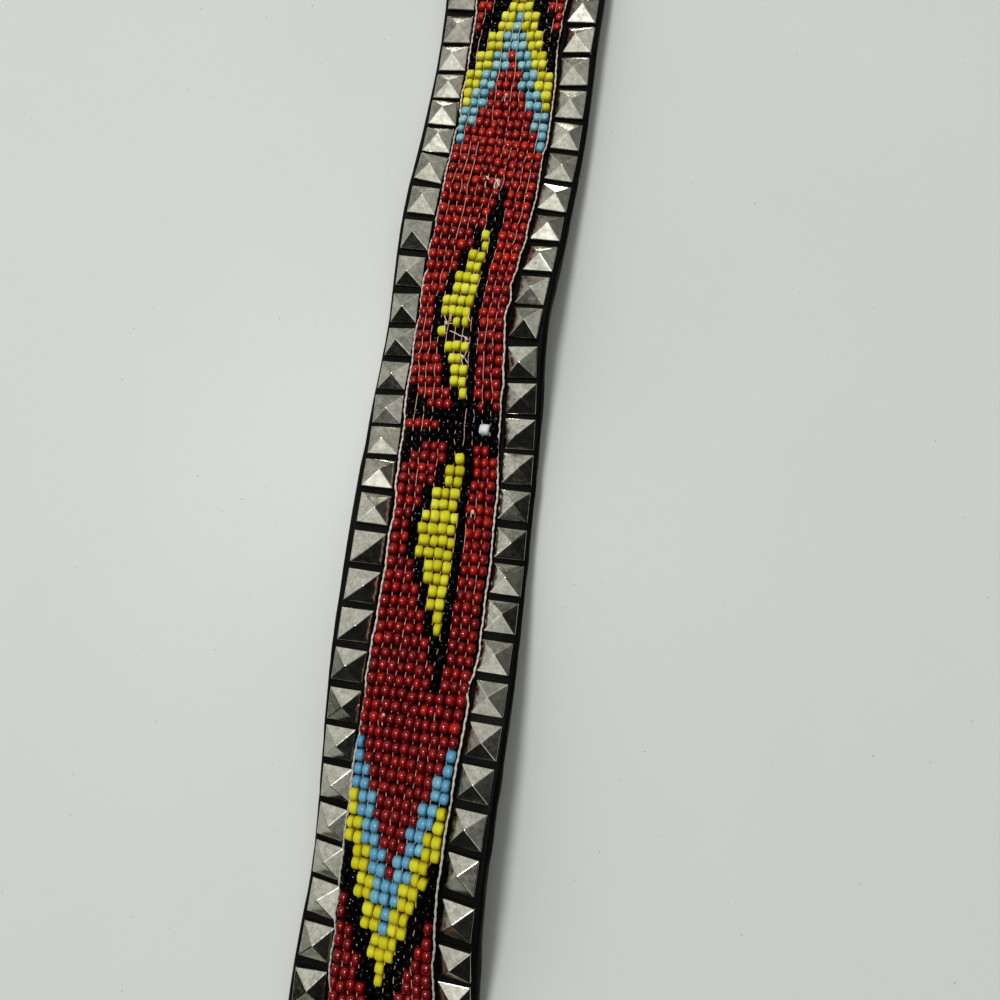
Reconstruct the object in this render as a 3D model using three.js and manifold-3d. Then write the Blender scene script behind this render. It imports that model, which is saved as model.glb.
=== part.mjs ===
// A leather belt with a bead-woven panel between two rows of pyramid studs.
// It lies right side up on a flat surface, with soft waves in its middle stretch.
// Millimetres: +Y runs from the buckle to the tip, +X is to the right, +Z is up.

import * as THREE from 'three';
import { ConvexGeometry } from 'three/addons/geometries/ConvexGeometry.js';
import { mergeVertices } from 'three/addons/utils/BufferGeometryUtils.js';
import Module from 'manifold-3d';

const wasm = await Module();
wasm.setup();

// Beadwork: rows run across the belt, columns run along it
const rowPitch = 3.06;
const rowsPerRepeat = 92;
const repeats = 3;
const columnPitch = 2.22;
const columns = 11;
const beadHeight = 2.6; // how far the band of beads stands off the leather

// Strap
const strapThick = 2.8;
const edgeRound = 0.7;
const tipLength = 155; // from the beadwork to the end of the tip
const foldLength = 44; // from the beadwork to the buckle's bar
const waveHeight = 18;

// Studs
const studSide = 8;
const studSkirt = 0.9; // straight side under the pyramid
const studHeight = 3.2;
const studInset = 1.4; // bare leather outside the studs
const cordGap = 1.19; // room for a cord between the beads and the studs
const studPitch = 3.08 * rowPitch;
const leftRowShift = 0.4 * studPitch;

// Buckle
const barRadius = 2;
const frameRim = 4.8;
const frameEase = 1.4; // room at each side of the strap
const frameThick = 4.4;
const windowLength = 21;
const prongWidth = 4;

// Prong holes in the tip
const holeCount = 5;
const holePitch = 25;
const holeRadius = 2.2;

// Clearance between pieces that touch
const seatGap = 0.4;

// What follows from those sizes
const repeatLength = rowPitch * rowsPerRepeat;
const panelLength = repeatLength * repeats;
const panelWidth = columnPitch * columns;
const strapWidth = panelWidth + 2 * (cordGap + studSide + studInset);
const frameWidth = strapWidth + 2 * (frameEase + frameRim);
const studAside = strapWidth / 2 - studInset - studSide / 2;
const studsPerRow = Math.floor(panelLength / (2 * studPitch)) * 2 - 1;
const eyeRadius = barRadius + seatGap + strapThick * 0.7;
const tipEnd = panelLength / 2 + tipLength;
const barAt = -panelLength / 2 - foldLength;
const frontAt = barAt - eyeRadius - windowLength;
const frontEnd = frontAt - frameRim;
const middleY = -(tipEnd + frontEnd) / 2;

// The lie of the strap's underside, from the middle of the beadwork.
// along: share of one repeat. aside: share of the strap's width, to the right.
// left, right: how far each edge is off the surface, share of the wave height.
const course = [
  { along: -0.7, aside: 0, left: 0, right: 0 },
  { along: -0.6, aside: 0.02, left: 0.1, right: 0.15 },
  { along: -0.5, aside: -0.01, left: 0.15, right: 0.4 },
  { along: -0.4, aside: -0.02, left: 0.1, right: 1 },
  { along: -0.3, aside: -0.035, left: 0.3, right: 0.95 },
  { along: -0.2, aside: -0.045, left: 0.6, right: 0.6 },
  { along: -0.1, aside: -0.055, left: 0.65, right: 0.3 },
  { along: 0, aside: -0.07, left: 0.2, right: 0.4 },
  { along: 0.1, aside: -0.08, left: 0, right: 0.8 },
  { along: 0.2, aside: -0.06, left: 0.3, right: 0.55 },
  { along: 0.3, aside: -0.025, left: 0.2, right: 0.4 },
  { along: 0.4, aside: -0.015, left: 0.05, right: 0.5 },
  { along: 0.5, aside: -0.01, left: 0.3, right: 0.35 },
  { along: 0.6, aside: 0, left: 0.15, right: 0.2 },
  { along: 0.7, aside: 0, left: 0, right: 0 },
];

// Half-width of the strap near its tip.
// back: distance from the tip's end, share of the strap's width.
// half: share of the strap's half-width.
const tipOutline = [
  { back: 0.62, half: 1 },
  { back: 0.4, half: 0.93 },
  { back: 0.2, half: 0.72 },
  { back: 0.07, half: 0.45 },
  { back: 0, half: 0.24 },
];

const blackLeather = new THREE.MeshStandardMaterial({ color: 0x141416, roughness: 0.6, metalness: 0 });
const redBeads = new THREE.MeshStandardMaterial({ color: 0x96141a, roughness: 0.25, metalness: 0 });
const agedNickel = new THREE.MeshStandardMaterial({ color: 0xa8a498, roughness: 0.35, metalness: 1 });
const steel = new THREE.MeshStandardMaterial({ color: 0x9a9a98, roughness: 0.3, metalness: 1 });

const courseStart = course[0].along * repeatLength;
const courseEnd = course[course.length - 1].along * repeatLength;

// The table's three lie columns as one smooth curve, evenly spaced along the belt
const lieCurve = new THREE.CatmullRomCurve3(
  course.map((row) => new THREE.Vector3(row.aside * strapWidth, row.left * waveHeight, row.right * waveHeight)),
  false,
  'catmullrom',
  0.5,
);

function lieAt(along) {
  const share = (along - courseStart) / (courseEnd - courseStart);
  const value = lieCurve.getPoint(THREE.MathUtils.clamp(share, 0, 1));
  return { aside: value.x, left: Math.max(value.y, 0), right: Math.max(value.z, 0) };
}

function centreAt(along) {
  const lie = lieAt(along);
  return new THREE.Vector3(lie.aside, along + middleY, (lie.left + lie.right) / 2);
}

// Frame on the strap's underside: X across, Y along, Z out through the leather
function seatAt(along) {
  const lie = lieAt(along);
  const forward = centreAt(along + 1).sub(centreAt(along - 1)).normalize();
  const across = new THREE.Vector3().crossVectors(forward, new THREE.Vector3(0, 0, 1)).normalize();
  across.applyAxisAngle(forward, -Math.asin((lie.right - lie.left) / strapWidth));
  const out = new THREE.Vector3().crossVectors(across, forward);
  return new THREE.Matrix4().makeBasis(across, forward, out).setPosition(centreAt(along));
}

// Frame of a flat-bottomed piece this far across, turned to the leather under it
function restAt(along, across, reach) {
  const pointAt = (place) => new THREE.Vector3(across, 0, strapThick).applyMatrix4(seatAt(place));
  const forward = pointAt(along + reach).sub(pointAt(along - reach)).normalize();
  const sideways = new THREE.Vector3().setFromMatrixColumn(seatAt(along), 0);
  const out = new THREE.Vector3().crossVectors(sideways, forward).normalize();
  sideways.crossVectors(forward, out);
  return new THREE.Matrix4().makeBasis(sideways, forward, out).setPosition(pointAt(along));
}

// Places along the belt: close together where it waves, and only the ends where it lies flat
function stationsBetween(start, end) {
  const steps = Math.round((courseEnd - courseStart) / (studPitch / 2));
  const stations = [start];
  for (let step = 0; step <= steps; step += 1) {
    const along = THREE.MathUtils.lerp(courseStart, courseEnd, step / steps);
    if (along > start + 1 && along < end - 1) {
      stations.push(along);
    }
  }
  stations.push(end);
  return stations;
}

// Closed body through one ring of [across, height] points per station, capped at both ends
function loft(stations, ringAt) {
  const positions = [];
  const faces = [];
  const count = ringAt(stations[0]).length;
  const addPoint = (across, height, seat) => {
    positions.push(...new THREE.Vector3(across, 0, height).applyMatrix4(seat).toArray());
  };
  for (const along of stations) {
    const seat = seatAt(along);
    ringAt(along).forEach(([across, height]) => addPoint(across, height, seat));
  }
  for (let station = 0; station < stations.length - 1; station += 1) {
    for (let point = 0; point < count; point += 1) {
      const near = station * count + point;
      const next = station * count + ((point + 1) % count);
      faces.push(near, next + count, next, near, near + count, next + count);
    }
  }
  for (const end of [0, stations.length - 1]) {
    const ring = ringAt(stations[end]);
    const middleHeight = ring.reduce((sum, [, height]) => sum + height, 0) / count;
    const hub = positions.length / 3;
    const middleAcross = ring.reduce((sum, [across]) => sum + across, 0) / count;
    addPoint(middleAcross, middleHeight, seatAt(stations[end]));
    for (let point = 0; point < count; point += 1) {
      const first = end * count + point;
      const second = end * count + ((point + 1) % count);
      faces.push(hub, ...(end === 0 ? [first, second] : [second, first]));
    }
  }
  const geometry = new THREE.BufferGeometry();
  geometry.setAttribute('position', new THREE.Float32BufferAttribute(positions, 3));
  geometry.setIndex(faces);
  return geometry;
}

function toSolid(geometry) {
  const bare = geometry.clone();
  bare.deleteAttribute('normal');
  bare.deleteAttribute('uv');
  const merged = mergeVertices(bare, 1e-4);
  return new wasm.Manifold(new wasm.Mesh({
    numProp: 3,
    vertProperties: Float32Array.from(merged.attributes.position.array),
    triVerts: Uint32Array.from(merged.index.array),
  }));
}

function toGeometry(solid) {
  const mesh = solid.getMesh();
  const geometry = new THREE.BufferGeometry();
  geometry.setAttribute('position', new THREE.Float32BufferAttribute(mesh.vertProperties, 3));
  geometry.setIndex(Array.from(mesh.triVerts));
  return geometry;
}

// Outline in the side view, [along, height], made as wide as asked and centred on the belt
function sideProfile(shape, width) {
  const geometry = new THREE.ExtrudeGeometry(shape, { depth: width, bevelEnabled: false, curveSegments: 8 });
  const turn = new THREE.Matrix4().makeBasis(
    new THREE.Vector3(0, 1, 0),
    new THREE.Vector3(0, 0, 1),
    new THREE.Vector3(1, 0, 0),
  );
  return geometry.applyMatrix4(turn.setPosition(-width / 2, middleY, 0));
}

function halfWidthAt(along) {
  const back = (tipEnd - along) / strapWidth;
  const next = tipOutline.findIndex((row) => row.back <= back);
  if (next === 0) {
    return strapWidth / 2;
  }
  const inner = tipOutline[next - 1];
  const outer = tipOutline[next];
  const share = (back - outer.back) / (inner.back - outer.back);
  return THREE.MathUtils.lerp(outer.half, inner.half, share) * strapWidth / 2;
}

function strapRing(along) {
  const half = halfWidthAt(along);
  return [
    [-half, 0],
    [-half * 0.35, 0],
    [half * 0.35, 0],
    [half, 0],
    [half, strapThick - edgeRound],
    [half - edgeRound, strapThick],
    [half * 0.35, strapThick],
    [-half * 0.35, strapThick],
    [-half + edgeRound, strapThick],
    [-half, strapThick - edgeRound],
  ];
}

// The strap's end folded back under itself, with an eye for the bar
function foldedEnd() {
  const doubled = strapThick * 2;
  const side = new THREE.Shape();
  side.moveTo(-panelLength / 2 - 2, 0);
  side.lineTo(barAt, 0);
  side.absarc(barAt, eyeRadius, eyeRadius, -Math.PI / 2, Math.PI / 2, true);
  side.lineTo(barAt + eyeRadius * 2.2, doubled);
  side.lineTo(-panelLength / 2 - foldLength * 0.3, doubled);
  side.lineTo(-panelLength / 2 - 2, strapThick);
  const eye = new THREE.Path();
  eye.absarc(barAt, eyeRadius, barRadius + seatGap, 0, Math.PI * 2);
  side.holes.push(eye);
  return sideProfile(side, strapWidth);
}

function prongSlot() {
  const length = eyeRadius * 3;
  const slot = new THREE.BoxGeometry(prongWidth + 3, length, eyeRadius * 4);
  return slot.translate(0, barAt + middleY, eyeRadius);
}

function prongHole(index) {
  const hole = new THREE.CylinderGeometry(holeRadius, holeRadius, strapThick * 3, 8);
  const along = tipEnd - strapWidth * 0.75 - index * holePitch;
  return hole.rotateX(Math.PI / 2).translate(0, along + middleY, strapThick / 2);
}

function leatherStrap() {
  const stations = stationsBetween(-panelLength / 2 - 4, tipEnd - tipOutline[0].back * strapWidth);
  tipOutline.slice(1).forEach((row) => stations.push(tipEnd - row.back * strapWidth));
  let strap = toSolid(loft(stations, strapRing)).add(toSolid(foldedEnd()));
  strap = strap.subtract(toSolid(prongSlot()));
  for (let index = 0; index < holeCount; index += 1) {
    strap = strap.subtract(toSolid(prongHole(index)));
  }
  return toGeometry(strap);
}

// The woven beads as one band that follows the leather
function beadworkPanel() {
  const half = panelWidth / 2;
  const floor = strapThick + seatGap;
  const shoulder = beadHeight * 0.65;
  const ring = [
    [-half, floor],
    [0, floor],
    [half, floor],
    [half, floor + shoulder],
    [half - columnPitch / 2, floor + beadHeight],
    [0, floor + beadHeight],
    [-half + columnPitch / 2, floor + beadHeight],
    [-half, floor + shoulder],
  ];
  return loft(stationsBetween(-panelLength / 2, panelLength / 2), () => ring);
}

function stud() {
  const half = studSide / 2;
  const corners = [[-half, -half], [half, -half], [half, half], [-half, half]];
  const points = corners.flatMap(([x, y]) => [new THREE.Vector3(x, y, 0), new THREE.Vector3(x, y, studSkirt)]);
  points.push(new THREE.Vector3(0, 0, studHeight));
  return new ConvexGeometry(points);
}

// Studs in a row, joined underneath by a narrow strip that stands in for their rivets.
// The left row is a little further along than the right one.
function studRow(side) {
  const base = strapThick + seatGap;
  const middle = side * studAside;
  const reach = (studsPerRow - 1) / 2;
  const strip = [
    [middle - 1.2, base + 0.1],
    [middle + 1.2, base + 0.1],
    [middle + 1.2, base + 0.6],
    [middle - 1.2, base + 0.6],
  ];
  const places = [];
  for (let index = -reach; index <= reach; index += 1) {
    places.push(index * studPitch + (side < 0 ? leftRowShift : 0));
  }
  const solids = places.map((along) => {
    const raised = stud().translate(0, 0, seatGap);
    return toSolid(raised.applyMatrix4(restAt(along, middle, studSide / 2)));
  });
  solids.push(toSolid(loft(places, () => strip)));
  return toGeometry(wasm.Manifold.union(solids));
}

// Three sides of the buckle's frame, open towards the strap
function buckleRim() {
  const half = frameWidth / 2;
  const inner = half - frameRim;
  const back = barAt + barRadius;
  const corner = frameRim * 1.2;
  const outline = new THREE.Shape();
  outline.moveTo(half, back);
  outline.lineTo(inner, back);
  outline.lineTo(inner, frontAt);
  outline.lineTo(-inner, frontAt);
  outline.lineTo(-inner, back);
  outline.lineTo(-half, back);
  outline.lineTo(-half, frontEnd + corner);
  outline.quadraticCurveTo(-half, frontEnd, -half + corner, frontEnd);
  outline.lineTo(half - corner, frontEnd);
  outline.quadraticCurveTo(half, frontEnd, half, frontEnd + corner);
  const rim = new THREE.ExtrudeGeometry(outline, { depth: frameThick, bevelEnabled: false, curveSegments: 4 });
  return rim.translate(0, middleY, eyeRadius - frameThick / 2);
}

function buckleBar() {
  const bar = new THREE.CylinderGeometry(barRadius, barRadius, frameWidth - frameRim, 16);
  return bar.rotateZ(Math.PI / 2).translate(0, barAt + middleY, eyeRadius);
}

// The prong lies from the bar over the front of the frame
function buckleProng() {
  const under = eyeRadius + frameThick / 2 - 0.2;
  const over = under + barRadius * 1.1;
  const knuckle = barRadius + 1.2;
  const side = new THREE.Shape();
  side.moveTo(barAt + knuckle, eyeRadius - knuckle / 2);
  side.lineTo(barAt + knuckle, eyeRadius + knuckle / 2);
  side.lineTo(barAt + knuckle / 2, over);
  side.lineTo(frontEnd + 1, over);
  side.lineTo(frontEnd, under + 0.8);
  side.lineTo(frontEnd, under);
  side.lineTo(barAt - knuckle, under);
  side.lineTo(barAt - knuckle, eyeRadius);
  side.lineTo(barAt - knuckle / 2, eyeRadius - knuckle);
  side.lineTo(barAt + knuckle / 2, eyeRadius - knuckle);
  return sideProfile(side, prongWidth);
}

function buckle() {
  const rim = toSolid(buckleRim());
  return toGeometry(rim.add(toSolid(buckleBar())).add(toSolid(buckleProng())));
}

function part(name, geometry, material) {
  const mesh = new THREE.Mesh(geometry, material);
  mesh.name = name;
  return mesh;
}

const belt = new THREE.Group();
belt.add(part('leather_strap', leatherStrap(), blackLeather));
belt.add(part('beadwork_panel', beadworkPanel(), redBeads));
belt.add(part('stud_row_left', studRow(-1), agedNickel));
belt.add(part('stud_row_right', studRow(1), agedNickel));
belt.add(part('buckle', buckle(), steel));

export default belt;
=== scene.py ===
"""A beaded belt: loomed glass beads between two rows of pyramid studs on black leather.

Tables and shapes are in millimetres and become metres when a mesh is made. The frame is the
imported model's: +Y runs along the belt towards its tip, +X is to the right, +Z is up.
"""

import math

import bmesh
import bpy
import numpy as np
from mathutils import Matrix, Vector


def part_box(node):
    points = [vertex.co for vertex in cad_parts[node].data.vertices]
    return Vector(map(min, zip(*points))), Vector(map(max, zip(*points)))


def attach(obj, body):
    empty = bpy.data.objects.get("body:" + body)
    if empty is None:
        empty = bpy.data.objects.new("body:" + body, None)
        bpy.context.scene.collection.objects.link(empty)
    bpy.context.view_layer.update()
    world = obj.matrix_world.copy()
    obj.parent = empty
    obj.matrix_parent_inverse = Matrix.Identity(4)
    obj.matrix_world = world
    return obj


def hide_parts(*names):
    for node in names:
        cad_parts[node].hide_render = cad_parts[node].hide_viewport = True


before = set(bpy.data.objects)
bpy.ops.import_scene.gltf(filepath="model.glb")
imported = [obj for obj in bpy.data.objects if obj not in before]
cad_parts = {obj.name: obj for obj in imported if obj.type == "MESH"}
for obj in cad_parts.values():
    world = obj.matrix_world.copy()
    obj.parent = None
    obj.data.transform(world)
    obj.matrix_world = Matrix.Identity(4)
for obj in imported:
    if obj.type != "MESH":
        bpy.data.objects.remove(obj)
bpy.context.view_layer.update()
rng = np.random.default_rng(11)
MM = 0.001

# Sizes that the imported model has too
ROW_PITCH = 3.06
ROWS_PER_REPEAT = 92
REPEATS = 3
COLUMNS = 11
COLUMN_PITCH = 2.22
STRAP_WIDTH = 45.6
STRAP_THICK = 2.8
WAVE_HEIGHT = 18.0
STUD_SIDE = 8.0
STUD_SKIRT = 0.9
STUD_HEIGHT = 3.2
STUD_ASIDE = 17.4
STUD_PITCH = 3.08 * ROW_PITCH
LEFT_ROW_SHIFT = 0.4 * STUD_PITCH
STUDS_PER_ROW = 87
SEAT_GAP = 0.4
REPEAT_LENGTH = ROW_PITCH * ROWS_PER_REPEAT
PANEL_LENGTH = REPEAT_LENGTH * REPEATS
PANEL_WIDTH = COLUMN_PITCH * COLUMNS
BEAD_FLOOR = STRAP_THICK + SEAT_GAP
TIP_LENGTH = 155.0
HOLES = 5
HOLE_PITCH = 25.0
HOLE_RADIUS = 2.2

# Sizes of the finer shapes
BEAD_TALL = 2.85
WARP_RADIUS = 0.13
STRAND_RADIUS = 0.19
STRAND_ASIDE = 0.11
CORD_ASIDE = 0.42
CORD_TURN = 3.4
LOOSE_RADIUS = 0.14
KNOT_RADIUS = 0.15
KNOT_SPREAD = 0.36
STUD_BEVEL = 0.16
TIP_ROUND = 0.5
TIP_POINT = 0.62 * STRAP_WIDTH
LAST_HOLE = 0.75 * STRAP_WIDTH

# How far from the middle of the beadwork the strap is finely divided, and its two steps
FINE_REACH = 200
FINE_STEP = 1.2
COARSE_STEP = 4.0

# Where the light comes from
LAMP_SIDE = (-0.26, 0.13, 0.96)
WALL_SIDE = (-0.62, 0.34, 0.7)
CEILING_SIDE = (-0.12, -0.46, 0.88)
WINDOW_SIDE = (0.62, 0.5, 0.62)
LAMP_DISTANCE = 2.5
LAMP_WIDTH = 0.5
LAMP_POWER = 24
TABLE_REACH = 3

# The camera: its place from the middle of the beadwork in millimetres, and its turns in degrees
CAMERA_PLACE = (14.33, -40.84, 186.9)
CAMERA_HEADING = 7.53
CAMERA_LEAN = 7.65
SENSOR_WIDTH = 36
FOCAL_LENGTH = 25.2

# Where the middle of the beadwork lies along Y
panel_low, panel_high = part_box("beadwork_panel")
MIDDLE_Y = (panel_low[1] + panel_high[1]) / 2 / MM

# The lie of the underside, as shares of a repeat, of the strap's width and of the wave height
COURSE = np.array([
    # along, aside, left, right
    (-0.7, 0, 0, 0),
    (-0.6, 0.02, 0.1, 0.15),
    (-0.5, -0.01, 0.15, 0.4),
    (-0.4, -0.02, 0.1, 1),
    (-0.3, -0.035, 0.3, 0.95),
    (-0.2, -0.045, 0.6, 0.6),
    (-0.1, -0.055, 0.65, 0.3),
    (0, -0.07, 0.2, 0.4),
    (0.1, -0.08, 0, 0.8),
    (0.2, -0.06, 0.3, 0.55),
    (0.3, -0.025, 0.2, 0.4),
    (0.4, -0.015, 0.05, 0.5),
    (0.5, -0.01, 0.3, 0.35),
    (0.6, 0, 0.15, 0.2),
    (0.7, 0, 0, 0),
])


# The belt's lie

def lie(along):
    """Aside, left lift and right lift at these places along the belt."""
    values = COURSE[:, 1:] * (STRAP_WIDTH, WAVE_HEIGHT, WAVE_HEIGHT)
    ghosted = np.vstack([2 * values[0] - values[1], values, 2 * values[-1] - values[-2]])
    share = (along / REPEAT_LENGTH - COURSE[0, 0]) / (COURSE[-1, 0] - COURSE[0, 0])
    place = np.clip(share, 0, 1) * (len(COURSE) - 1)
    row = np.clip(np.floor(place).astype(int), 0, len(COURSE) - 2)
    t = (place - row)[:, None]
    before, start, end, after = (ghosted[row + step] for step in range(4))
    smooth = 0.5 * (2 * start + (end - before) * t
                    + (2 * before - 5 * start + 4 * end - after) * t ** 2
                    + (3 * start - before - 3 * end + after) * t ** 3)
    smooth[:, 1:] = np.maximum(smooth[:, 1:], 0)
    return smooth


def unit(vectors):
    return vectors / np.linalg.norm(vectors, axis=-1, keepdims=True)


def centre(along):
    aside, left, right = lie(along).T
    return np.stack([aside, along + MIDDLE_Y, (left + right) / 2], axis=1)


def section(along):
    """Centre of the underside, and the unit vectors across, forward and out of the leather."""
    aside, left, right = lie(along).T
    forward = unit(centre(along + 1) - centre(along - 1))
    level = unit(np.cross(forward, (0.0, 0.0, 1.0)))
    rise = np.cross(level, forward)
    roll = np.arcsin((right - left) / STRAP_WIDTH)[:, None]
    across = level * np.cos(roll) + rise * np.sin(roll)
    return centre(along), across, forward, np.cross(across, forward)


def lay(along, aside, height):
    """Points this far along, aside of the centre line and above the strap's underside."""
    along, aside, height = np.broadcast_arrays(
        *(np.atleast_1d(np.asarray(value, float)) for value in (along, aside, height)))
    middle, across, _, out = section(along.ravel())
    points = middle + across * aside.reshape(-1, 1) + out * height.reshape(-1, 1)
    return points.reshape(*along.shape, 3)


def lay_frames(along, aside, height, reach=1.5):
    """Origins, and axes as columns (across, forward, out), turned to the leather there."""
    origin = lay(along, aside, height)
    forward = unit(lay(along + reach, aside, height) - lay(along - reach, aside, height))
    across = section(along)[1]
    out = unit(np.cross(across, forward))
    return origin, np.stack([np.cross(forward, out), forward, out], axis=2)


# Mesh helpers

def new_object(name, mesh, smooth=True):
    made = bpy.data.objects.new(name, mesh)
    bpy.context.scene.collection.objects.link(made)
    mesh.polygons.foreach_set("use_smooth", [smooth] * len(mesh.polygons))
    return made


def make_mesh(name, points, faces, smooth=True, **attributes):
    """An object from points in millimetres. Each attribute is one number or vector a point."""
    mesh = bpy.data.meshes.new(name)
    mesh.from_pydata((np.asarray(points) * MM).tolist(), [], np.asarray(faces).tolist())
    for label, values in attributes.items():
        values = np.asarray(values, float)
        kind, field = ("FLOAT_VECTOR", "vector") if values.ndim == 2 else ("FLOAT", "value")
        layer = mesh.attributes.new(label, kind, "POINT")
        layer.data.foreach_set(field, values.ravel())
    return new_object(name, mesh, smooth)


def grid_faces(rows, columns):
    """Quads over rings of points, one ring a row, each closed on itself."""
    row = np.arange(rows - 1)[:, None]
    column = np.arange(columns)[None, :]
    near = row * columns + column
    beside = row * columns + (column + 1) % columns
    return np.stack([near, beside, beside + columns, near + columns], axis=2).reshape(-1, 4)


def copies(points, faces, origins, axes, sizes):
    """One template's points and faces, repeated once for each origin."""
    placed = np.einsum("nij,nvj->nvi", axes, points[None] * sizes[:, None])
    placed = placed + origins[:, None]
    shifts = np.arange(len(origins))[:, None, None] * len(points)
    return placed.reshape(-1, 3), (faces[None] + shifts).reshape(-1, faces.shape[1])


def turned(axes, degrees):
    """The same axes, each turned by small random angles about its own three directions."""
    angles = np.radians(rng.normal(0, 1, (len(axes), 3)) * degrees)
    x, y, z = angles.T
    zero = np.zeros_like(x)
    skew = np.stack([zero, -z, y, z, zero, -x, -y, x, zero], axis=1).reshape(-1, 3, 3)
    return axes @ (np.eye(3) + skew)


def tube(path, radius, sides):
    """Points and faces of a tube through a path, open at the ends."""
    path = np.asarray(path, float)
    forward = unit(np.gradient(path, axis=0))
    sideways = unit(np.cross(forward, (0.0, 0.0, 1.0)))
    rise = np.cross(sideways, forward)
    angle = np.linspace(0, 2 * math.pi, sides, endpoint=False)[None, :, None]
    radius = np.broadcast_to(radius, len(path))[:, None, None]
    ring = sideways[:, None] * np.cos(angle) + rise[:, None] * np.sin(angle)
    return (path[:, None] + ring * radius).reshape(-1, 3), grid_faces(len(path), sides)


def joined(parts):
    """Several (points, faces) pairs as one."""
    points, faces, total = [], [], 0
    for some_points, some_faces in parts:
        points.append(some_points)
        faces.append(np.asarray(some_faces) + total)
        total += len(some_points)
    return np.concatenate(points), np.concatenate(faces)


def wander(along, step, amount, seed):
    """Smooth random values along the belt, one draw every step millimetres."""
    draws = np.random.default_rng(seed).normal(0, amount, 2000)
    place = along / step + 1000
    index = np.floor(place).astype(int)
    t = place - index
    t = t * t * (3 - 2 * t)
    return draws[index] * (1 - t) + draws[index + 1] * t


# Materials

class NodeTree:
    """Short names for the nodes that the surfaces and the room's light are made of."""

    def __init__(self, tree):
        self.nodes = tree.nodes
        self.links = tree.links

    def node(self, kind, inputs=None, **settings):
        made = self.nodes.new("ShaderNode" + kind)
        for setting, value in settings.items():
            setattr(made, setting, value)
        for socket, value in (inputs or {}).items():
            self.feed(made.inputs[socket], value)
        return made

    def feed(self, socket, value):
        if isinstance(value, bpy.types.NodeSocket):
            self.links.new(value, socket)
        else:
            socket.default_value = value

    def position(self):
        return self.node("NewGeometry").outputs["Position"]

    def attribute(self, name, output="Fac"):
        return self.node("Attribute", attribute_name=name).outputs[output]

    def noise(self, scale, detail=2.0, roughness=0.5, vector=None):
        inputs = {"Scale": scale, "Detail": detail, "Roughness": roughness,
                  "Vector": vector or self.position()}
        return self.node("TexNoise", inputs).outputs["Fac"]

    def ramp(self, value, *stops):
        made = self.node("ValToRGB", {"Fac": value})
        elements = made.color_ramp.elements
        while len(elements) < len(stops):
            elements.new(0.5)
        for element, (place, colour) in zip(elements, stops):
            element.position = place
            element.color = (*colour, 1)
        return made.outputs["Color"]

    def span(self, value, low, high, out_low=0.0, out_high=1.0, curve="LINEAR"):
        inputs = {"Value": value, "From Min": low, "From Max": high,
                  "To Min": out_low, "To Max": out_high}
        return self.node("MapRange", inputs, interpolation_type=curve).outputs["Result"]

    def math(self, operation, first, second):
        return self.node("Math", {0: first, 1: second}, operation=operation).outputs[0]

    def mix(self, factor, first, second):
        made = self.node("Mix", data_type="RGBA")
        for socket, value in zip((0, 6, 7), (factor, first, second)):
            if isinstance(value, tuple) and len(value) == 3:
                value = (*value, 1)
            self.feed(made.inputs[socket], value)
        return made.outputs[2]

    def bump(self, height, strength, distance, normal=None):
        inputs = {"Height": height, "Strength": strength, "Distance": distance}
        if normal:
            inputs["Normal"] = normal
        return self.node("Bump", inputs).outputs["Normal"]


class Shader(NodeTree):
    """A node material with one principled surface."""

    def __init__(self, name):
        self.material = bpy.data.materials.new(name)
        self.material.use_nodes = True
        super().__init__(self.material.node_tree)
        self.surface = self.nodes["Principled BSDF"]

    def set(self, **inputs):
        for label, value in inputs.items():
            self.feed(self.surface.inputs[label.replace("_", " ")], value)


def grey(value):
    return (value, value, value)


def bead_material(name, tones, edge, roughness, specular, tint=(1, 1, 1), painted_glints=0.0):
    """Glass beads, each with its own colour, darkened to the edge colour down their sides as painted
    shade; painted glints are pale dots.
    """
    shader = Shader(name)
    dark, middle, bright = tones
    tone = shader.ramp(shader.attribute("tone"), (0.0, dark), (0.5, middle), (1.0, bright))
    cloud = shader.noise(800.0, 3.0)
    colour = shader.mix(shader.span(cloud, 0.35, 0.75, 0.0, 0.45), tone, dark)
    # Painted shade: the colour darkens to the edge colour on the sides that face away from the painted
    # lit side
    crown = shader.span(shader.attribute("crown"), 0.1, 0.85, curve="SMOOTHSTEP")
    colour = shader.mix(crown, edge, colour)
    # Painted glints: pale dots painted into the colour of the beads, standing in for highlights
    if painted_glints:
        cell = shader.node("TexVoronoi", {"Scale": 900.0, "Vector": shader.position()})
        spot = shader.span(cell.outputs["Distance"], 0.1, 0.2, 1.0, 0.0)
        chance = shader.node("SeparateColor", {"Color": cell.outputs["Color"]}).outputs["Red"]
        spot = shader.math("MULTIPLY", spot, shader.span(chance, 0.25, 1.0, 0.0, painted_glints))
        colour = shader.mix(spot, colour, (0.75, 0.8, 0.95))
    fine = shader.noise(2600.0, 2.0)
    polish = shader.span(fine, 0.3, 0.7, roughness * 0.7, roughness * 1.4)
    shader.set(Base_Color=colour, Roughness=polish)
    shader.set(Specular_IOR_Level=specular, Specular_Tint=(*tint, 1))
    shader.set(Normal=shader.bump(shader.noise(1200.0, 2.0), 0.1, 0.0001))
    return shader.material


def thread_material(name, light, dark, worn=None):
    """Cotton thread. Where its worn attribute is high it takes the worn colour."""
    shader = Shader(name)
    fibres = shader.noise(1400.0, 4.0, 0.7)
    grime = shader.noise(70.0, 3.0)
    colour = shader.mix(shader.span(fibres, 0.35, 0.7), dark, light)
    colour = shader.mix(shader.span(grime, 0.45, 0.75, 0.0, 0.5), colour, dark)
    if worn:
        colour = shader.mix(shader.attribute("worn"), colour, worn)
    shader.set(Base_Color=colour, Roughness=0.75, Sheen_Weight=0.3, Sheen_Roughness=0.5)
    shader.set(Normal=shader.bump(fibres, 0.6, 0.0001))
    return shader.material


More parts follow.
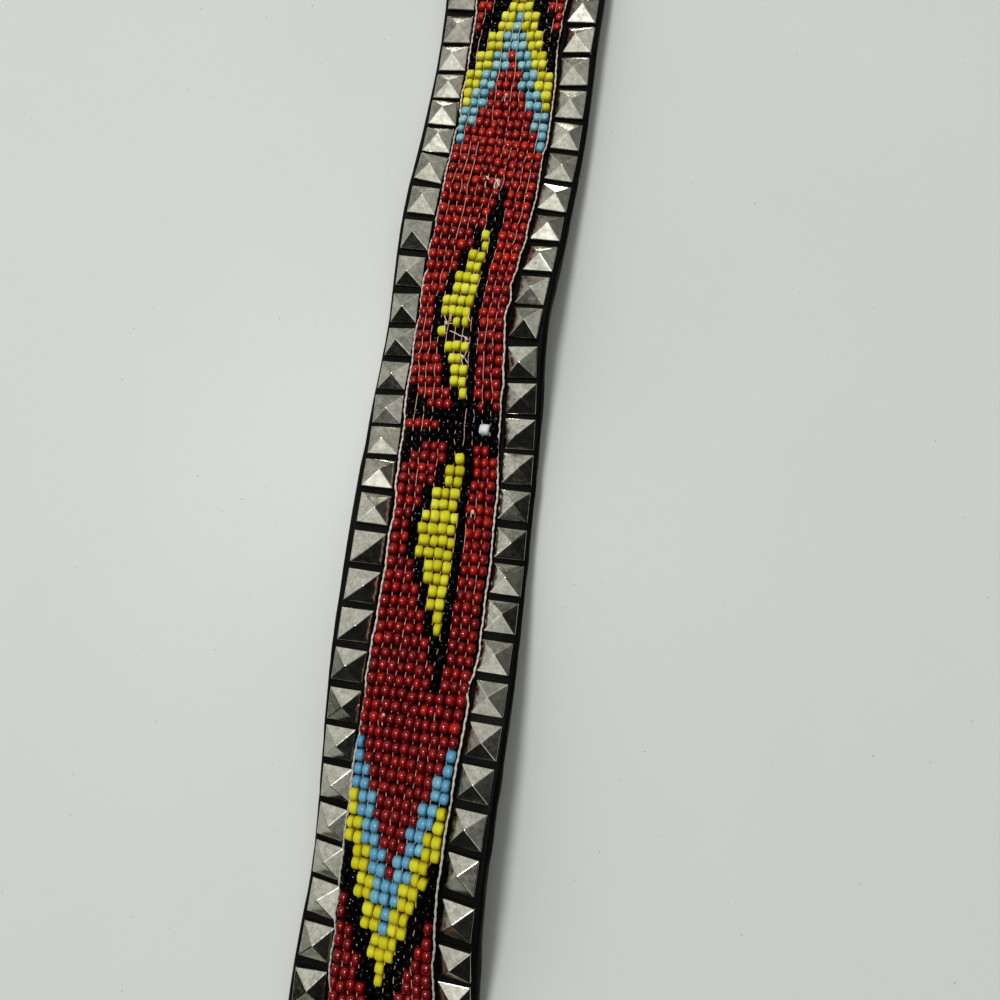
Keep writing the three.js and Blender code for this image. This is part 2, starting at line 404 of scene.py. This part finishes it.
def leather_material():
    shader = Shader("black_leather")
    position = shader.position()
    grain = shader.node("TexVoronoi", {"Scale": 1100.0, "Vector": position}, feature="DISTANCE_TO_EDGE")
    pores = shader.span(grain.outputs["Distance"], 0.0, 0.12)
    creases = shader.noise(160.0, 5.0, 0.65)
    wear = shader.span(shader.noise(90.0, 4.0, 0.7), 0.55, 0.8)
    colour = shader.mix(wear, grey(0.0018), grey(0.005))
    shader.set(Base_Color=colour, Roughness=shader.span(creases, 0.3, 0.7, 0.45, 0.7))
    shader.set(Specular_IOR_Level=0.14)
    soft = shader.bump(creases, 0.35, 0.0004)
    shader.set(Normal=shader.bump(pores, 0.35, 0.00012, soft))
    return shader.material


def metal_material(name, bright, dull, stain, stained=0.5):
    """Aged plating: soft blotches, fine scratches, stains, and the painted shade of a small pit beside
    the apex.
    """
    shader = Shader(name)
    position = shader.position()
    age = shader.attribute("age")
    blotch = shader.noise(600.0, 6.0, 0.75)
    colour = shader.mix(shader.span(blotch, 0.38, 0.66), dull, bright)
    spots = shader.noise(900.0, 5.0, 0.7)
    spotted = shader.math("MULTIPLY", shader.span(spots, 0.5, 0.72), age)
    colour = shader.mix(shader.math("MULTIPLY", spotted, stained), colour, stain)
    # Painted shade of a small pit beside the apex: a near-black dot, with no hollow in the mesh
    local = shader.attribute("local", "Vector")
    pit = shader.node("VectorMath", {0: local, 1: (0.00018, 0.00042, 0.0)}, operation="DISTANCE")
    hole = shader.span(pit.outputs["Value"], 0.0002, 0.0005, 1.0, 0.0)
    colour = shader.mix(shader.math("MULTIPLY", hole, 0.8), colour, (0.03, 0.028, 0.025))
    stretch = shader.node("Mapping", {"Vector": position, "Scale": (900.0, 3000.0, 1800.0)})
    scratches = shader.noise(1.0, 3.0, 0.6, stretch.outputs["Vector"])
    shader.set(Base_Color=colour, Metallic=1.0, Roughness=shader.span(blotch, 0.3, 0.7, 0.12, 0.22))
    rough = shader.bump(scratches, 0.06, 0.00005)
    shader.set(Normal=shader.bump(blotch, 0.12, 0.00015, rough))
    return shader.material


def table_material():
    shader = Shader("table_top")
    mottle = shader.noise(9.0, 4.0, 0.6)
    colour = shader.mix(mottle, (0.66, 0.68, 0.65), (0.71, 0.73, 0.70))
    dust = shader.noise(700.0, 2.0, 0.5)
    colour = shader.mix(shader.span(dust, 0.74, 0.8, 0.0, 0.6), colour, (0.2, 0.2, 0.19))
    shader.set(Base_Color=colour, Roughness=0.45, Specular_IOR_Level=0.3)
    shader.set(Normal=shader.bump(shader.noise(40.0, 3.0), 0.05, 0.001))
    return shader.material


RED_TONES = ((0.15, 0.0015, 0.004), (0.27, 0.003, 0.003), (0.52, 0.022, 0.003))
YELLOW_TONES = ((0.57, 0.52, 0.02), (0.72, 0.70, 0.05), (0.82, 0.84, 0.12))
BLUE_TONES = ((0.13, 0.33, 0.50), (0.23, 0.49, 0.56), (0.41, 0.65, 0.61))
BLACK_TONES = (grey(0.0012), grey(0.0018), (0.003, 0.003, 0.005))
WHITE_TONES = ((0.70, 0.70, 0.74), (0.76, 0.76, 0.80), (0.82, 0.82, 0.85))
# After the tones comes each material's edge colour, the painted shade that each bead darkens to down
# its sides
RED = bead_material("red_beads", RED_TONES, (0.12, 0.003, 0.003), 0.16, 1.0, (1, 0.5, 0.45))
YELLOW = bead_material("yellow_beads", YELLOW_TONES, (0.28, 0.22, 0.003), 0.35, 0.25, (1, 0.95, 0.5))
BLUE = bead_material("blue_beads", BLUE_TONES, (0.03, 0.12, 0.17), 0.22, 0.4, (0.8, 0.95, 1))
BLACK = bead_material("black_beads", BLACK_TONES, grey(0.0008), 0.12, 0.05, painted_glints=0.7)
WHITE = bead_material("white_beads", WHITE_TONES, (0.4, 0.4, 0.43), 0.35, 0.4)
WARP = thread_material("warp_thread", (0.86, 0.60, 0.50), (0.50, 0.25, 0.19))
CORD = thread_material("cream_thread", (0.86, 0.73, 0.66), (0.60, 0.47, 0.41), (0.46, 0.45, 0.39))
KNOT = thread_material("knot_thread", (0.90, 0.74, 0.66), (0.66, 0.48, 0.42))
LEATHER = leather_material()
NICKEL = metal_material("aged_nickel", (0.68, 0.67, 0.60), (0.42, 0.415, 0.35), (0.09, 0.08, 0.045))
STEEL = metal_material("buckle_steel", (0.56, 0.55, 0.51), (0.49, 0.48, 0.44), (0.2, 0.17, 0.12), 0.3)

# Each letter's colour, material and squareness
BEAD_SLOTS = {
    "R": ("red", RED, 0.05),
    "K": ("black", BLACK, 0.6),
    "Y": ("yellow", YELLOW, 0.75),
    "B": ("blue", BLUE, 0.55),
    "W": ("white", WHITE, 1.0),
}


def finish_piece(piece, material, slot, *nodes):
    piece.data.materials.clear()
    piece.data.materials.append(material)
    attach(piece, "root")
    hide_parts(*nodes)
    return piece


# Beadwork

# Rows from the point between two figures to a figure's middle row, each with its count
HALF_REPEAT = [
    ("RRRRRKRRRRR", 1),
    ("RRRRKKKRRRR", 2),
    ("RRRKKYKKRRR", 2),
    ("RRKKYYYKKRR", 2),
    ("RKKYYBYYKKR", 2),
    ("KKYYBBBYYKK", 2),
    ("KYYBBRBBYYK", 2),
    ("YYBBRRRBBYY", 2),
    ("YBBRRRRRBBY", 2),
    ("BBRRRRRRRBB", 2),
    ("BRRRRRRRRRB", 2),
    ("RRRRRRRRRRR", 4),
    ("RRRRRRRKRRR", 2),
    ("RRRRRRKKRRR", 2),
    ("RRRRRKYKRRR", 2),
    ("RRRRKYYKRRR", 2),
    ("RRRKYYYKRRR", 2),
    ("RRKYYYYKRRR", 4),
    ("RRRKYYYKRRR", 2),
    ("RRRRKYYKRRR", 2),
    ("KRRRRKYKRRR", 1),
    ("KKRRRKKKRKR", 1),
    ("KKKKKKKKKKK", 1),
    ("RRRRKKKKKWK", 1),
]
TAIL_ROW_BELOW = "KKRRRKKKRRK"

# The side of each bead that is painted lit; away from it each bead's colour is painted darker, as shade
PAINTED_LIGHT_SIDE = (-0.08, 0.3, 0.95)

# Beads that have broken off, as (row, column) from the middle figure's middle row
LOST_BEADS = ((9, 3), (9, 6), (8, 4), (8, 5), (8, 6), (6, 6))

# Beads that have slipped, each with how far along and aside
SLIPPED_BEADS = (((9, 4), 0.1, 0.6), ((9, 5), 0.1, 1.3), ((8, 3), 0.8, -0.5))

# Bare ends of thread, as points along the belt and aside
LOOSE_THREADS = (
    ((29.5, -4.6), (28.3, -4.1), (27.3, -3.2), (27.2, -2.0)),
    ((27.8, -2.6), (29.4, -2.7), (30.4, -3.2)),
    ((27.9, 2.9), (29.0, 2.3), (30.1, 2.4)),
    ((25.4, -2.4), (24.9, -1.0), (24.4, 0.2), (23.9, 1.4)),
    ((24.3, 1.2), (23.7, 2.3), (23.2, 3.1)),
    ((22.5, 3.2), (20.8, 3.0), (19.1, 2.4), (18.2, 1.7)),
    ((19.4, 1.6), (18.3, 2.6), (17.2, 3.3)),
)

# Knots on the surface, as along the belt, aside and size
KNOTS = (
    (18.6, 2.1, 1.0),
    (67.0, 1.8, 1.7),
    (66.0, 2.3, 1.0),
    (67.6, -1.0, 1.1),
    (-22.4, 6.9, 1.0),
    (94.2, -0.3, 0.8),
    (-72.5, -6.6, 0.8),
    (27.2, -3.6, 1.0),
    (23.4, 2.6, 1.0),
)


def bead_rows():
    """The colour letters of every row, from the buckle's end to the tip's, with its place."""
    half = [row for row, count in HALF_REPEAT for _ in range(count)]
    reach = ROWS_PER_REPEAT * REPEATS // 2 - 1
    rows = []
    for place in range(-reach, reach + 1):
        from_figure = (place + ROWS_PER_REPEAT // 2) % ROWS_PER_REPEAT - ROWS_PER_REPEAT // 2
        letters = half[len(half) - 1 - abs(from_figure)]
        if from_figure == -2:
            letters = TAIL_ROW_BELOW
        rows.append((place, letters))
    return rows


def bead_template(around, along, flat):
    """A short barrel with a hole, its axis along X, one unit long and wide. A larger flat
    share gives squarer ends."""
    angle = np.linspace(0, math.pi, along)
    half_length = np.sign(np.cos(angle)) * np.abs(np.cos(angle)) ** (0.72 - 0.3 * flat) * 0.5
    radius = np.maximum(np.abs(np.sin(angle)) ** (0.85 - 0.35 * flat) * 0.5, 0.16)
    turn = np.linspace(0, 2 * math.pi, around, endpoint=False)
    points = np.stack([
        np.broadcast_to(half_length[:, None], (along, around)),
        radius[:, None] * np.cos(turn)[None],
        radius[:, None] * np.sin(turn)[None],
    ], axis=2).reshape(-1, 3)
    skin = grid_faces(along, around)
    last = (along - 1) * around
    side = np.arange(around)
    hole = np.stack([side, last + side, last + (side + 1) % around, (side + 1) % around], axis=1)
    return points, np.concatenate([skin, hole])


def beadwork():
    rows = bead_rows()
    count = len(rows)
    letters = np.array([list(text) for _, text in rows])
    place = np.array([number for number, _ in rows])
    widths = np.clip(rng.normal(1, 0.1, (count, COLUMNS)), 0.76, 1.25)
    widths[letters == "W"] = 1.35
    widths *= PANEL_WIDTH / widths.sum(axis=1, keepdims=True)
    edges = np.cumsum(widths, axis=1)
    aside = edges - widths / 2 - PANEL_WIDTH / 2
    drifts = [wander(place * ROW_PITCH, 17, 0.22, 40 + column) for column in range(COLUMNS)]
    drift = np.stack(drifts, axis=1)
    along = place[:, None] * ROW_PITCH + rng.normal(0, 0.1, (count, COLUMNS)) + drift * 0.6
    sway = wander(place * ROW_PITCH, 9, 0.14, 31)[:, None]
    aside = aside + sway + rng.normal(0, 0.04, (count, COLUMNS))
    thick = np.clip(rng.normal(1.02, 0.05, (count, COLUMNS)), 0.9, 1.14) * ROW_PITCH
    tall = np.clip(rng.normal(1, 0.03, (count, COLUMNS)), 0.9, 1.08) * BEAD_TALL
    height = BEAD_FLOOR + tall / 2 - 0.1 + rng.normal(0, 0.07, (count, COLUMNS))
    # Painted light and shade along the belt: beads are painted lighter towards the tip's end and darker
    # towards the buckle's end, on top of each bead's random colour value
    painted_light_along = 0.3 * np.clip(place / 30, -1.3, 1)[:, None]
    tone = np.clip(rng.normal(0.42, 0.22, (count, COLUMNS)) + painted_light_along, 0, 1)
    for row, column in LOST_BEADS:
        letters[row - place[0], column] = " "
    for (row, column), forward, outward in SLIPPED_BEADS:
        along[row - place[0], column] += forward
        aside[row - place[0], column] += outward
    close = np.abs(place) <= ROWS_PER_REPEAT // 2 + 1
    for letter, (colour, material, flat) in BEAD_SLOTS.items():
        for zone, wanted, shape in (("near", close, (14, 8)), ("far", ~close, (10, 6))):
            chosen = (letters == letter) & wanted[:, None]
            if not chosen.any():
                continue
            points, faces = bead_template(*shape, flat)
            origins, axes = lay_frames(along[chosen], aside[chosen], height[chosen])
            axes = turned(axes, (4, 6, 5))
            sizes = np.stack([widths[chosen] * 1.05, thick[chosen], tall[chosen]], axis=1)
            made, made_faces = copies(points, faces, origins, axes, sizes)
            # Painted light and shade: how far each point of a bead faces the painted lit side
            direction = unit(points * (0.75, 1, 1)) @ PAINTED_LIGHT_SIDE
            piece = make_mesh(
                f"beads_{colour}_{zone}", made, made_faces,
                tone=np.repeat(tone[chosen], len(points)),
                crown=np.tile(direction, int(chosen.sum())),
            )
            finish_piece(piece, material, f"{colour}_beads", "beadwork_panel")


def warp_threads():
    """Threads that run between the columns of beads and show in the gaps between rows."""
    parts = []
    for line in range(1, COLUMNS):
        along = np.arange(-PANEL_LENGTH / 2 + 1, PANEL_LENGTH / 2 - 1, 0.75)
        aside = line * COLUMN_PITCH - PANEL_WIDTH / 2 + wander(along, ROW_PITCH, 0.17, 60 + line)
        height = BEAD_FLOOR + 1.8 + wander(along, 2.1, 0.16, 80 + line)
        height += wander(along, 14, 0.28, 100 + line)
        height += 0.15 * np.clip(along / 30, -2.6, 1)
        parts.append(tube(lay(along, aside, height), WARP_RADIUS, 5))
    piece = make_mesh("warp_threads", *joined(parts))
    finish_piece(piece, WARP, "cream_thread", "beadwork_panel")


def edge_cord(name, side, seed):
    """Two strands laid closely together, bowed outwards round the end of each row of beads."""
    along = np.arange(-PANEL_LENGTH / 2, PANEL_LENGTH / 2, 0.4)
    bows = np.abs(np.cos(along / ROW_PITCH * math.pi)) - 0.6
    sway = bows * 0.14 + wander(along, ROW_PITCH * 1.4, 0.22, seed) + wander(along, 16, 0.14, seed + 1)
    aside = side * (PANEL_WIDTH / 2 + CORD_ASIDE + sway)
    height = BEAD_FLOOR + 1.6 + wander(along, 5, 0.14, seed + 2)
    fullness = 1 + wander(along, 5, 0.1, seed + 3) - 0.25 * np.clip(along / 40, 0, 1)
    parts = []
    for phase in (0.0, math.pi):
        turn = along / CORD_TURN * 2 * math.pi + phase + wander(along, 9, 0.6, seed + 4)
        path = lay(along, aside + STRAND_ASIDE * np.cos(turn), height + STRAND_ASIDE * np.sin(turn))
        parts.append(tube(path, STRAND_RADIUS * fullness, 6))
    points, faces = joined(parts)
    patches = wander(points[:, 1], 25, 0.12, seed + 5)
    worn = np.clip((MIDDLE_Y - 50 - points[:, 1]) / 60 + patches, 0, 1)
    piece = make_mesh(name, points, faces, worn=worn)
    finish_piece(piece, CORD, "cream_thread", "beadwork_panel")


def loose_threads():
    """Threads laid bare where beads broke off, and small knots."""
    parts = []
    for points in LOOSE_THREADS:
        along, aside = np.array(points).T
        steps = np.linspace(0, len(points) - 1, len(points) * 5)
        along = np.interp(steps, range(len(points)), along)
        aside = np.interp(steps, range(len(points)), aside)
        height = BEAD_FLOOR + 2.1 + rng.normal(0, 0.06, len(steps)).cumsum() * 0.4
        parts.append(tube(lay(along, aside, height), LOOSE_RADIUS, 6))
    for along, aside, size in KNOTS:
        wind = np.linspace(0, 5 * math.pi, 30)
        spread = (KNOT_SPREAD + rng.normal(0, 0.08, len(wind))) * size
        tail = np.clip(wind - 4 * math.pi, 0, None) * 0.7
        height = BEAD_FLOOR + 2.6 + 0.2 * np.sin(wind * 1.7) - 0.2 * tail
        path_along = along + spread * np.cos(wind) - tail
        path_aside = aside + spread * np.sin(wind * 0.8) * 0.9
        path = lay(path_along, path_aside, height)
        parts.append(tube(path, KNOT_RADIUS * math.sqrt(size), 6))
    piece = make_mesh("loose_threads", *joined(parts))
    finish_piece(piece, KNOT, "cream_thread", "beadwork_panel")


# Studs

def stud_template():
    """A low pyramid on a straight skirt, with its edges slightly rounded."""
    half = STUD_SIDE / 2
    shape = bmesh.new()
    corners = [(-half, -half), (half, -half), (half, half), (-half, half)]
    low = [shape.verts.new((x, y, 0)) for x, y in corners]
    high = [shape.verts.new((x * 0.985, y * 0.985, STUD_SKIRT)) for x, y in corners]
    apex = shape.verts.new((0, 0, STUD_HEIGHT))
    for start in range(4):
        end = (start + 1) % 4
        shape.faces.new((low[start], low[end], high[end], high[start]))
        shape.faces.new((high[start], high[end], apex))
    shape.faces.new(low[::-1])
    sharp = [edge for edge in shape.edges if max(vertex.co.z for vertex in edge.verts) > 0.1]
    bmesh.ops.bevel(shape, geom=sharp, offset=STUD_BEVEL, segments=3, affect="EDGES", profile=0.5)
    bmesh.ops.triangulate(shape, faces=shape.faces)
    points = np.array([vertex.co[:] for vertex in shape.verts])
    faces = np.array([[vertex.index for vertex in face.verts] for face in shape.faces])
    shape.free()
    return points, faces


def stud_row(name, side, shift, node):
    points, faces = stud_template()
    reach = (STUDS_PER_ROW - 1) // 2
    along = np.arange(-reach, reach + 1) * STUD_PITCH + shift
    count = len(along)
    along = along + rng.normal(0, 0.12, count)
    aside = side * STUD_ASIDE + rng.normal(0, 0.1, count)
    origins, axes = lay_frames(along, aside, np.full(count, STRAP_THICK + 0.05), STUD_SIDE / 2)
    axes = turned(axes, (1.4, 1.4, 1.2))
    shapes = np.repeat(points[None], count, axis=0)
    lift = np.clip((shapes[..., 2] - STUD_SKIRT) / (STUD_HEIGHT - STUD_SKIRT), 0, 1)
    shapes[..., 0] += lift * rng.normal(0, 0.28, (count, 1))
    shapes[..., 1] += lift * rng.normal(0, 0.28, (count, 1))
    placed = np.einsum("nij,nvj->nvi", axes, shapes) + origins[:, None]
    shifts = np.arange(count)[:, None, None] * len(points)
    piece = make_mesh(
        name, placed.reshape(-1, 3), (faces[None] + shifts).reshape(-1, 3), smooth=False,
        local=np.tile(points * MM, (count, 1)),
        age=np.repeat(rng.uniform(0, 1, count) ** 2.5, len(points)),
    )
    finish_piece(piece, NICKEL, "aged_nickel", node)


# Strap

def strap_section():
    """The strap's outline as (across, height), anticlockwise from the lower right edge."""
    half = STRAP_WIDTH / 2
    low, high = 0.55, 1.15
    points_per_round = 5
    outline = []
    for middle, radius, start in (
        ((half - low, low), low, -90),
        ((half - high, STRAP_THICK - high), high, 0),
        ((-half + high, STRAP_THICK - high), high, 90),
        ((-half + low, low), low, 180),
    ):
        for step in range(points_per_round):
            angle = math.radians(start + 90 * step / (points_per_round - 1))
            outline.append((middle[0] + radius * math.cos(angle), middle[1] + radius * math.sin(angle)))
    top = [(across, STRAP_THICK) for across in np.linspace(half - 2.4, -half + 2.4, 22)]
    return np.array(outline[:points_per_round * 2] + top + outline[points_per_round * 2:])


def strap_body():
    reach = PANEL_LENGTH / 2 + 1
    along = np.concatenate([
        np.arange(-reach, -FINE_REACH, COARSE_STEP),
        np.arange(-FINE_REACH, FINE_REACH, FINE_STEP),
        np.arange(FINE_REACH, reach, COARSE_STEP),
    ])
    outline = strap_section()
    grid = lay(along[:, None], outline[None, :, 0], outline[None, :, 1])
    swells = [wander(along, 6.5, 0.09, 200 + point % 7) for point in range(len(outline))]
    swell = np.stack(swells, axis=1)
    _, across, _, _ = section(along)
    side = np.sign(outline[:, 0]) * (np.abs(outline[:, 0]) > STRAP_WIDTH / 2 - 2)
    grid = grid + across[:, None] * (swell * side)[..., None]
    return grid.reshape(-1, 3), grid_faces(len(along), len(outline))


def cad_copy(node):
    """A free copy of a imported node's mesh as a bmesh, in metres."""
    shape = bmesh.new()
    shape.from_mesh(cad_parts[node].data)
    bmesh.ops.remove_doubles(shape, verts=shape.verts, dist=1e-6)
    return shape


def soften(shape, width, angle):
    """Rounds the edges of a bmesh that turn by more than this many degrees."""
    bmesh.ops.dissolve_limit(shape, angle_limit=math.radians(1), verts=shape.verts, edges=shape.edges)
    least = math.radians(angle)
    sharp = [edge for edge in shape.edges if edge.is_manifold and edge.calc_face_angle(0) > least]
    bmesh.ops.bevel(
        shape, geom=sharp, offset=width, segments=2, affect="EDGES", profile=0.6, clamp_overlap=True)


def folded_end():
    """The strap beyond the beadwork at the buckle's end, folded round the bar."""
    shape = cad_copy("leather_strap")
    cut = (MIDDLE_Y - PANEL_LENGTH / 2 + 2) * MM
    everything = shape.verts[:] + shape.edges[:] + shape.faces[:]
    bmesh.ops.bisect_plane(
        shape, geom=everything, plane_co=(0, cut, 0), plane_no=(0, -1, 0), clear_inner=True)
    soften(shape, 0.35 * MM, 25)
    mesh = bpy.data.meshes.new("folded_end")
    shape.to_mesh(mesh)
    shape.free()
    return mesh


def tip():
    """The flat strap beyond the beadwork at the other end, with a rounded point and the holes."""
    end = PANEL_LENGTH / 2 + TIP_LENGTH + MIDDLE_Y
    half = STRAP_WIDTH / 2
    start = MIDDLE_Y + PANEL_LENGTH / 2 - 1
    outline = [(-half + TIP_ROUND, start), (half - TIP_ROUND, start)]
    for turn in np.linspace(0, math.pi, 64):
        along = end - TIP_POINT + (TIP_POINT - TIP_ROUND) * math.sin(turn)
        outline.append(((half - TIP_ROUND) * math.cos(turn), along))
    loops = [outline]
    for index in range(HOLES):
        middle = end - LAST_HOLE - index * HOLE_PITCH
        around = np.linspace(0, 2 * math.pi, 28, endpoint=False)
        radius = HOLE_RADIUS + TIP_ROUND
        circle = [(radius * math.cos(angle), middle + radius * math.sin(angle)) for angle in around]
        loops.append(circle)
    plate = bpy.data.curves.new("tip", "CURVE")
    plate.dimensions = "2D"
    plate.fill_mode = "BOTH"
    plate.extrude = (STRAP_THICK / 2 - TIP_ROUND) * MM
    plate.bevel_depth = TIP_ROUND * MM
    plate.bevel_resolution = 2
    for loop in loops:
        spline = plate.splines.new("POLY")
        spline.points.add(len(loop) - 1)
        for point, (across, along) in zip(spline.points, loop):
            point.co = (across * MM, along * MM, 0, 1)
        spline.use_cyclic_u = True
    holder = bpy.data.objects.new("tip", plate)
    mesh = bpy.data.meshes.new_from_object(holder)
    mesh.transform(Matrix.Translation((0, 0, STRAP_THICK / 2 * MM)))
    bpy.data.objects.remove(holder)
    return mesh


def strap():
    points, faces = strap_body()
    body = make_mesh("strap", points, faces)
    shape = bmesh.new()
    shape.from_mesh(body.data)
    shape.from_mesh(folded_end())
    shape.from_mesh(tip())
    shape.to_mesh(body.data)
    shape.free()
    body.data.polygons.foreach_set("use_smooth", [True] * len(body.data.polygons))
    body.data.set_sharp_from_angle(angle=math.radians(40))
    finish_piece(body, LEATHER, "black_leather", "leather_strap")


def buckle():
    shape = cad_copy("buckle")
    soften(shape, 0.5 * MM, 30)
    mesh = bpy.data.meshes.new("buckle_frame")
    shape.to_mesh(mesh)
    shape.free()
    age = mesh.attributes.new("age", "FLOAT", "POINT")
    age.data.foreach_set("value", [0.4] * len(mesh.vertices))
    piece = new_object("buckle_frame", mesh)
    mesh.set_sharp_from_angle(angle=math.radians(35))
    finish_piece(piece, STEEL, "buckle_steel", "buckle")


# Setting

def table_top():
    mesh = bpy.data.meshes.new("table_top")
    corners = [(x * TABLE_REACH, y * TABLE_REACH, 0) for x, y in ((-1, -1), (1, -1), (1, 1), (-1, 1))]
    mesh.from_pydata(corners, [], [(0, 1, 2, 3)])
    floor = new_object("table_top", mesh, False)
    mesh.materials.append(table_material())


def room():
    """Pale walls to the left and far sides, dark ones to the right and near sides, a pale
    patch of ceiling towards the viewer and a soft window high on the far right."""
    world = bpy.data.worlds.new("room")
    bpy.context.scene.world = world
    world.use_nodes = True
    tree = NodeTree(world.node_tree)
    direction = tree.node("TexCoord").outputs["Generated"]

    def toward(place):
        inputs = {0: direction, 1: Vector(place).normalized()}
        return tree.node("VectorMath", inputs, operation="DOT_PRODUCT").outputs["Value"]

    walls = tree.span(toward(WALL_SIDE), 0.12, 0.6, 0.0, 0.66, "SMOOTHSTEP")
    height = tree.span(toward((0, 0, 1)), 0.0, 0.45, 0.35, 1.0, "SMOOTHSTEP")
    gap = tree.span(toward((0, 0.25, 0.97)), 0.9, 0.98, 1.0, 0.4, "SMOOTHSTEP")
    far_half = tree.span(toward((0, 1, 0)), -0.5, -0.15, 0.0, 1.0, "SMOOTHSTEP")
    light = tree.math("MULTIPLY", walls, height)
    light = tree.math("MULTIPLY", light, tree.math("MULTIPLY", gap, far_half))
    ceiling = tree.span(toward(CEILING_SIDE), 0.91, 0.965, 0.02, 0.78, "SMOOTHSTEP")
    window = tree.span(toward(WINDOW_SIDE), 0.88, 0.98, 0.0, 0.24, "SMOOTHSTEP")
    light = tree.math("ADD", tree.math("ADD", light, ceiling), window)
    seen = tree.node("LightPath").outputs["Is Camera Ray"]
    background = tree.nodes["Background"]
    tree.feed(background.inputs["Strength"], tree.span(seen, 0.0, 1.0, light, 0.62))
    background.inputs["Color"].default_value = (1.0, 1.0, 0.97, 1)


def lamp():
    light = bpy.data.lights.new("lamp", "AREA")
    light.shape = "DISK"
    light.size = LAMP_WIDTH
    light.energy = LAMP_POWER
    made = bpy.data.objects.new("lamp", light)
    made.location = Vector(LAMP_SIDE).normalized() * LAMP_DISTANCE
    made.rotation_euler = (-made.location).to_track_quat("-Z", "Y").to_euler()
    bpy.context.scene.collection.objects.link(made)


def camera():
    """A wide phone lens, close above the belt and leaning a little away from the viewer."""
    heading = Matrix.Rotation(math.radians(CAMERA_HEADING), 3, "Z")
    lean = Matrix.Rotation(math.radians(CAMERA_LEAN), 3, "X")
    lens = bpy.data.cameras.new("camera")
    lens.sensor_width = SENSOR_WIDTH
    lens.lens = FOCAL_LENGTH
    lens.clip_start = 0.01
    made = bpy.data.objects.new("camera", lens)
    made.location = (Vector(CAMERA_PLACE) + Vector((0, MIDDLE_Y, 0))) * MM
    made.rotation_euler = (heading @ lean).to_euler()
    bpy.context.scene.collection.objects.link(made)
    bpy.context.scene.camera = made


strap()
stud_row("studs_left", -1, LEFT_ROW_SHIFT, "stud_row_left")
stud_row("studs_right", 1, 0.0, "stud_row_right")
beadwork()
warp_threads()
loose_threads()
edge_cord("edge_cord_left", -1, 300)
edge_cord("edge_cord_right", 1, 320)
buckle()
table_top()
room()
lamp()
camera()
bpy.context.scene.view_settings.view_transform = "Standard"
bpy.context.scene.view_settings.look = "Medium High Contrast"
